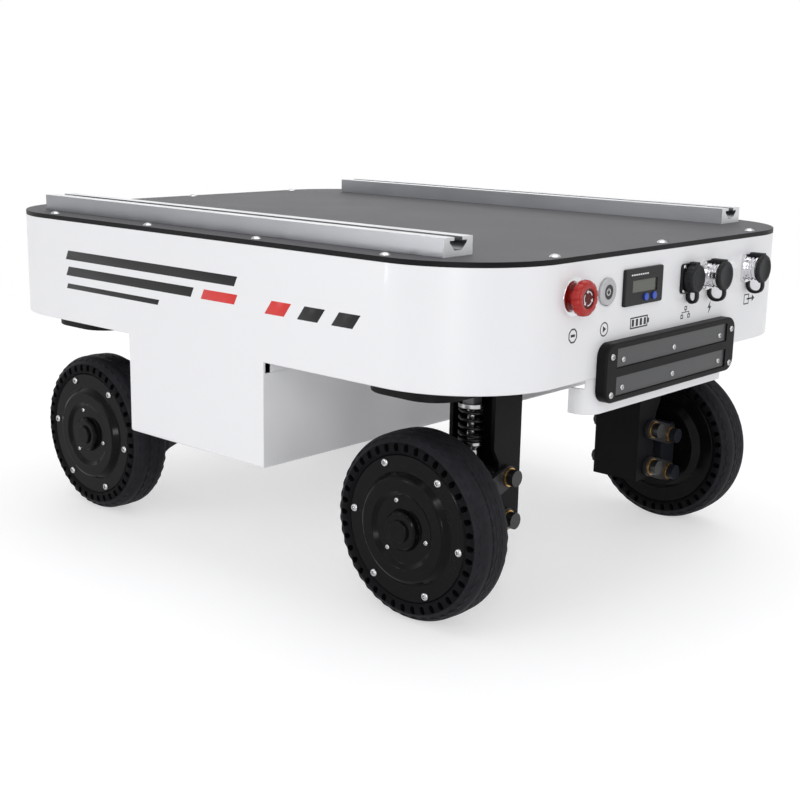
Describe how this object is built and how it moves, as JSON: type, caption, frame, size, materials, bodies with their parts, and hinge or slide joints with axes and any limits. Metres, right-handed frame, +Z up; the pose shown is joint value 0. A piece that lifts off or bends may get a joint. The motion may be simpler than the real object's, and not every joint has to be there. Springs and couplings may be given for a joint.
{
  "type": "autonomous mobile robot chassis",
  "caption": "Low four-wheel mobile robot chassis with a rounded sheet-metal body, T-slot rails on its deck, hub-motor wheels on sprung arms and a control panel at one end.",
  "frame": {"origin": "on the ground, under the middle of the robot's bounding box", "axes": "+X towards the end with the controls, +Y to the robot's left, +Z up"},
  "size_m": [0.6814, 0.5346, 0.3328],
  "materials": {
    "white_paint": "smooth satin powder coat",
    "deck_paint": "matt black anodised sheet",
    "black_plate": "matt black anodised",
    "black_steel": "satin black coat",
    "clear_anodised": "fine satin extrusion",
    "bright_screw": "polished",
    "bare_steel": "turned steel",
    "grey_link": "dark zinc plate",
    "dark_bolt": "black oxide",
    "motor_black": "semi-gloss black coat",
    "tyre_rubber": "moulded rubber",
    "spring_black": "gloss black coat",
    "black_plastic": "fine grain",
    "red_plastic": "glossy",
    "blue_plastic": "glossy",
    "socket_metal": "bright plate",
    "contact_metal": "dark brushed plate",
    "battery_case": "shrink sleeve",
    "control_case": "moulded, finned lid"
  },
  "bodies": {
    "root": {"body_shell": "white_paint", "deck_plate": "deck_paint", "deck_screws": "bright_screw", "rail_left": "clear_anodised", "rail_right": "clear_anodised", "base_plate": "black_plate", "battery_pack": "battery_case", "control_box": "control_case", "suspension_bolts": "dark_bolt", "damper_tops": "bare_steel", "estop_collar": "socket_metal", "start_bezel": "bare_steel", "meter_case": "black_plastic", "panel_sockets": "socket_metal", "charge_frame": "black_plastic", "charge_contacts": "contact_metal", "bracket_front_left": "black_steel", "spring_front_left": "spring_black", "bracket_front_right": "black_steel", "spring_front_right": "spring_black", "bracket_rear_left": "black_steel", "spring_rear_left": "spring_black", "bracket_rear_right": "black_steel", "spring_rear_right": "spring_black"},
    "upper_arm_front_left": {"upper_arm_front_left": "grey_link"},
    "lower_arm_front_left": {"lower_arm_front_left": "grey_link"},
    "knuckle_front_left": {"knuckle_front_left": "black_steel", "axle_front_left": "bare_steel"},
    "damper_front_left": {"damper_body_front_left": "bare_steel"},
    "wheel_front_left": {"hub_motor_front_left": "motor_black", "tyre_front_left": "tyre_rubber"},
    "upper_arm_front_right": {"upper_arm_front_right": "grey_link"},
    "lower_arm_front_right": {"lower_arm_front_right": "grey_link"},
    "knuckle_front_right": {"knuckle_front_right": "black_steel", "axle_front_right": "bare_steel"},
    "damper_front_right": {"damper_body_front_right": "bare_steel"},
    "wheel_front_right": {"hub_motor_front_right": "motor_black", "tyre_front_right": "tyre_rubber"},
    "upper_arm_rear_left": {"upper_arm_rear_left": "grey_link"},
    "lower_arm_rear_left": {"lower_arm_rear_left": "grey_link"},
    "knuckle_rear_left": {"knuckle_rear_left": "black_steel", "axle_rear_left": "bare_steel"},
    "damper_rear_left": {"damper_body_rear_left": "bare_steel"},
    "wheel_rear_left": {"hub_motor_rear_left": "motor_black", "tyre_rear_left": "tyre_rubber"},
    "upper_arm_rear_right": {"upper_arm_rear_right": "grey_link"},
    "lower_arm_rear_right": {"lower_arm_rear_right": "grey_link"},
    "knuckle_rear_right": {"knuckle_rear_right": "black_steel", "axle_rear_right": "bare_steel"},
    "damper_rear_right": {"damper_body_rear_right": "bare_steel"},
    "wheel_rear_right": {"hub_motor_rear_right": "motor_black", "tyre_rear_right": "tyre_rubber"},
    "estop_head": {"estop_head": "red_plastic"},
    "start_plunger": {"start_plunger": "dark_bolt"},
    "meter_key_left": {"meter_key_left": "blue_plastic"},
    "meter_key_right": {"meter_key_right": "blue_plastic"},
    "data_cap": {"data_cap": "black_plastic"},
    "charge_cap": {"charge_cap": "black_plastic"},
    "discharge_cap": {"discharge_cap": "black_plastic"}
  },
  "joints": [
    {"name": "suspension_front_left", "type": "hinge", "parent": "root", "child": "lower_arm_front_left", "pos_m": [0.2138, 0.121, 0.0745], "axis": [1, 0, 0], "range_deg": [-5, 30], "stiffness_Nm_per_rad": 30, "springref_deg": -6.3},
    {"name": "upper_arm_front_left", "type": "hinge", "parent": "root", "child": "upper_arm_front_left", "pos_m": [0.2138, 0.121, 0.1135], "axis": [1, 0, 0], "range_deg": [-6, 31]},
    {"name": "knuckle_front_left", "type": "hinge", "parent": "lower_arm_front_left", "child": "knuckle_front_left", "pos_m": [0.2138, 0.156, 0.063], "axis": [1, 0, 0], "range_deg": [-31, 6]},
    {"name": "damper_front_left", "type": "slide", "parent": "root", "child": "damper_front_left", "axis": [0, 0, 1], "range_m": [-0.0018, 0.0102], "deforming": ["spring_front_left"]},
    {"name": "wheel_front_left", "type": "hinge", "parent": "knuckle_front_left", "child": "wheel_front_left", "pos_m": [0.2138, 0.204, 0.0825], "axis": [0, 1, 0], "continuous": true},
    {"name": "suspension_front_right", "type": "hinge", "parent": "root", "child": "lower_arm_front_right", "pos_m": [0.2138, -0.121, 0.0745], "axis": [-1, 0, 0], "range_deg": [-5, 30], "stiffness_Nm_per_rad": 30, "springref_deg": -6.3},
    {"name": "upper_arm_front_right", "type": "hinge", "parent": "root", "child": "upper_arm_front_right", "pos_m": [0.2138, -0.121, 0.1135], "axis": [-1, 0, 0], "range_deg": [-6, 31]},
    {"name": "knuckle_front_right", "type": "hinge", "parent": "lower_arm_front_right", "child": "knuckle_front_right", "pos_m": [0.2138, -0.156, 0.063], "axis": [-1, 0, 0], "range_deg": [-31, 6]},
    {"name": "damper_front_right", "type": "slide", "parent": "root", "child": "damper_front_right", "axis": [0, 0, 1], "range_m": [-0.0018, 0.0102], "deforming": ["spring_front_right"]},
    {"name": "wheel_front_right", "type": "hinge", "parent": "knuckle_front_right", "child": "wheel_front_right", "pos_m": [0.2138, -0.204, 0.0825], "axis": [0, 1, 0], "continuous": true},
    {"name": "suspension_rear_left", "type": "hinge", "parent": "root", "child": "lower_arm_rear_left", "pos_m": [-0.2338, 0.121, 0.0745], "axis": [1, 0, 0], "range_deg": [-5, 30], "stiffness_Nm_per_rad": 30, "springref_deg": -6.3},
    {"name": "upper_arm_rear_left", "type": "hinge", "parent": "root", "child": "upper_arm_rear_left", "pos_m": [-0.2338, 0.121, 0.1135], "axis": [1, 0, 0], "range_deg": [-6, 31]},
    {"name": "knuckle_rear_left", "type": "hinge", "parent": "lower_arm_rear_left", "child": "knuckle_rear_left", "pos_m": [-0.2338, 0.156, 0.063], "axis": [1, 0, 0], "range_deg": [-31, 6]},
    {"name": "damper_rear_left", "type": "slide", "parent": "root", "child": "damper_rear_left", "axis": [0, 0, 1], "range_m": [-0.0018, 0.0102], "deforming": ["spring_rear_left"]},
    {"name": "wheel_rear_left", "type": "hinge", "parent": "knuckle_rear_left", "child": "wheel_rear_left", "pos_m": [-0.2338, 0.204, 0.0825], "axis": [0, 1, 0], "continuous": true},
    {"name": "suspension_rear_right", "type": "hinge", "parent": "root", "child": "lower_arm_rear_right", "pos_m": [-0.2338, -0.121, 0.0745], "axis": [-1, 0, 0], "range_deg": [-5, 30], "stiffness_Nm_per_rad": 30, "springref_deg": -6.3},
    {"name": "upper_arm_rear_right", "type": "hinge", "parent": "root", "child": "upper_arm_rear_right", "pos_m": [-0.2338, -0.121, 0.1135], "axis": [-1, 0, 0], "range_deg": [-6, 31]},
    {"name": "knuckle_rear_right", "type": "hinge", "parent": "lower_arm_rear_right", "child": "knuckle_rear_right", "pos_m": [-0.2338, -0.156, 0.063], "axis": [-1, 0, 0], "range_deg": [-31, 6]},
    {"name": "damper_rear_right", "type": "slide", "parent": "root", "child": "damper_rear_right", "axis": [0, 0, 1], "range_m": [-0.0018, 0.0102], "deforming": ["spring_rear_right"]},
    {"name": "wheel_rear_right", "type": "hinge", "parent": "knuckle_rear_right", "child": "wheel_rear_right", "pos_m": [-0.2338, -0.204, 0.0825], "axis": [0, 1, 0], "continuous": true},
    {"name": "estop_push", "type": "slide", "parent": "root", "child": "estop_head", "axis": [-1, 0, 0], "range_m": [0, 0.004], "stiffness_N_per_m": 1500, "springref_m": -0.001},
    {"name": "start_push", "type": "slide", "parent": "root", "child": "start_plunger", "axis": [-1, 0, 0], "range_m": [0, 0.002], "stiffness_N_per_m": 800, "springref_m": -0.0005},
    {"name": "meter_key_left_push", "type": "slide", "parent": "root", "child": "meter_key_left", "axis": [-1, 0, 0], "range_m": [0, 0.0008], "stiffness_N_per_m": 400, "springref_m": -0.0005},
    {"name": "meter_key_right_push", "type": "slide", "parent": "root", "child": "meter_key_right", "axis": [-1, 0, 0], "range_m": [0, 0.0008], "stiffness_N_per_m": 400, "springref_m": -0.0005},
    {"name": "data_cap_pull", "type": "slide", "parent": "root", "child": "data_cap", "axis": [1, 0, 0], "range_m": [0, 0.02]},
    {"name": "charge_cap_pull", "type": "slide", "parent": "root", "child": "charge_cap", "axis": [1, 0, 0], "range_m": [0, 0.02]},
    {"name": "discharge_cap_pull", "type": "slide", "parent": "root", "child": "discharge_cap", "axis": [1, 0, 0], "range_m": [0, 0.02]}
  ],
  "couplings": [
    {"joint": "upper_arm_front_left", "follows": "suspension_front_left", "ratio": 1},
    {"joint": "knuckle_front_left", "follows": "suspension_front_left", "ratio": -1},
    {"joint": "damper_front_left", "follows": "suspension_front_left", "m_per_rad": 0.01866},
    {"joint": "upper_arm_front_right", "follows": "suspension_front_right", "ratio": 1},
    {"joint": "knuckle_front_right", "follows": "suspension_front_right", "ratio": -1},
    {"joint": "damper_front_right", "follows": "suspension_front_right", "m_per_rad": 0.01866},
    {"joint": "upper_arm_rear_left", "follows": "suspension_rear_left", "ratio": 1},
    {"joint": "knuckle_rear_left", "follows": "suspension_rear_left", "ratio": -1},
    {"joint": "damper_rear_left", "follows": "suspension_rear_left", "m_per_rad": 0.01866},
    {"joint": "upper_arm_rear_right", "follows": "suspension_rear_right", "ratio": 1},
    {"joint": "knuckle_rear_right", "follows": "suspension_rear_right", "ratio": -1},
    {"joint": "damper_rear_right", "follows": "suspension_rear_right", "m_per_rad": 0.01866}
  ]
}
